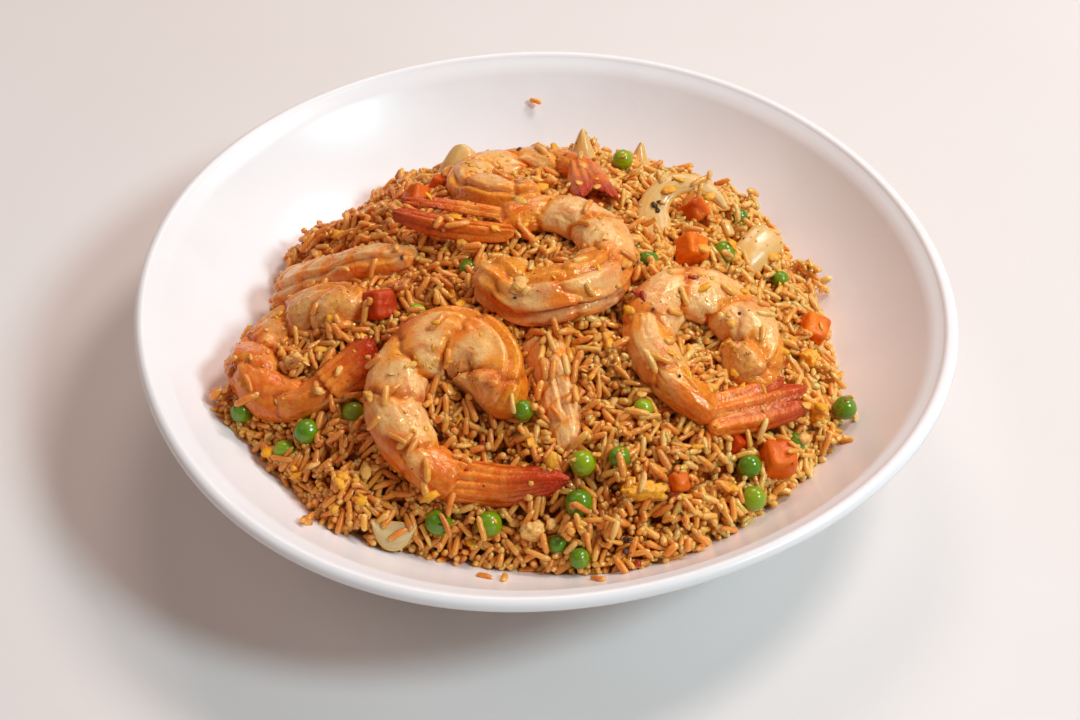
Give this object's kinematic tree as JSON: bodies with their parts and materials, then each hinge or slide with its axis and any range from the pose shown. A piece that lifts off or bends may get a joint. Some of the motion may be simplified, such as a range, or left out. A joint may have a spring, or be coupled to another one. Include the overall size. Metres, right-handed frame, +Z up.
{
  "type": "shrimp fried rice in a bowl",
  "caption": "Heap of fried rice with curled shrimp, peas, carrot, onion and egg in a round white coupe bowl.",
  "frame": {"origin": "on the table, under the middle of the bowl", "axes": "+Z up out of the bowl, +X to the right and +Y away from the side that the bowl is served from"},
  "size_m": [0.29, 0.29, 0.087],
  "materials": {
    "bowl_glaze": "gloss white glaze",
    "rice": "glossy oiled grains",
    "shrimp": "moist cooked shrimp",
    "pea": "moist green skin",
    "carrot": "moist cut carrot",
    "onion": "translucent cooked onion",
    "egg": "soft scrambled egg"
  },
  "bodies": {
    "root": {"bowl": "bowl_glaze", "carrot_01": "carrot", "carrot_02": "carrot", "carrot_03": "carrot", "carrot_04": "carrot", "carrot_05": "carrot", "carrot_06": "carrot", "carrot_07": "carrot", "carrot_08": "carrot", "carrot_09": "carrot", "egg_curd_edge": "egg", "egg_curd_front": "egg", "egg_curd_onion": "egg", "egg_curd_right": "egg", "egg_curd_top": "egg", "egg_strip": "egg", "onion_arch": "onion", "onion_chip": "onion", "onion_half_moon": "onion", "onion_petal_back": "onion", "onion_slab": "onion", "onion_tip_middle": "onion", "onion_tip_right": "onion", "pea_01": "pea", "pea_02": "pea", "pea_03": "pea", "pea_04": "pea", "pea_05": "pea", "pea_06": "pea", "pea_07": "pea", "pea_08": "pea", "pea_09": "pea", "pea_10": "pea", "pea_11": "pea", "pea_12": "pea", "pea_13": "pea", "pea_14": "pea", "pea_15": "pea", "pea_16": "pea", "pea_17": "pea", "pea_18": "pea", "pea_19": "pea", "pea_20": "pea", "pea_21": "pea", "pea_22": "pea", "pea_23": "pea", "pea_24": "pea", "rice_heap": "rice", "shrimp_back": "shrimp", "shrimp_centre": "shrimp", "shrimp_front": "shrimp", "shrimp_left": "shrimp", "shrimp_right": "shrimp", "shrimp_sunk": "shrimp", "shrimp_upper_left": "shrimp"}
  },
  "joints": []
}
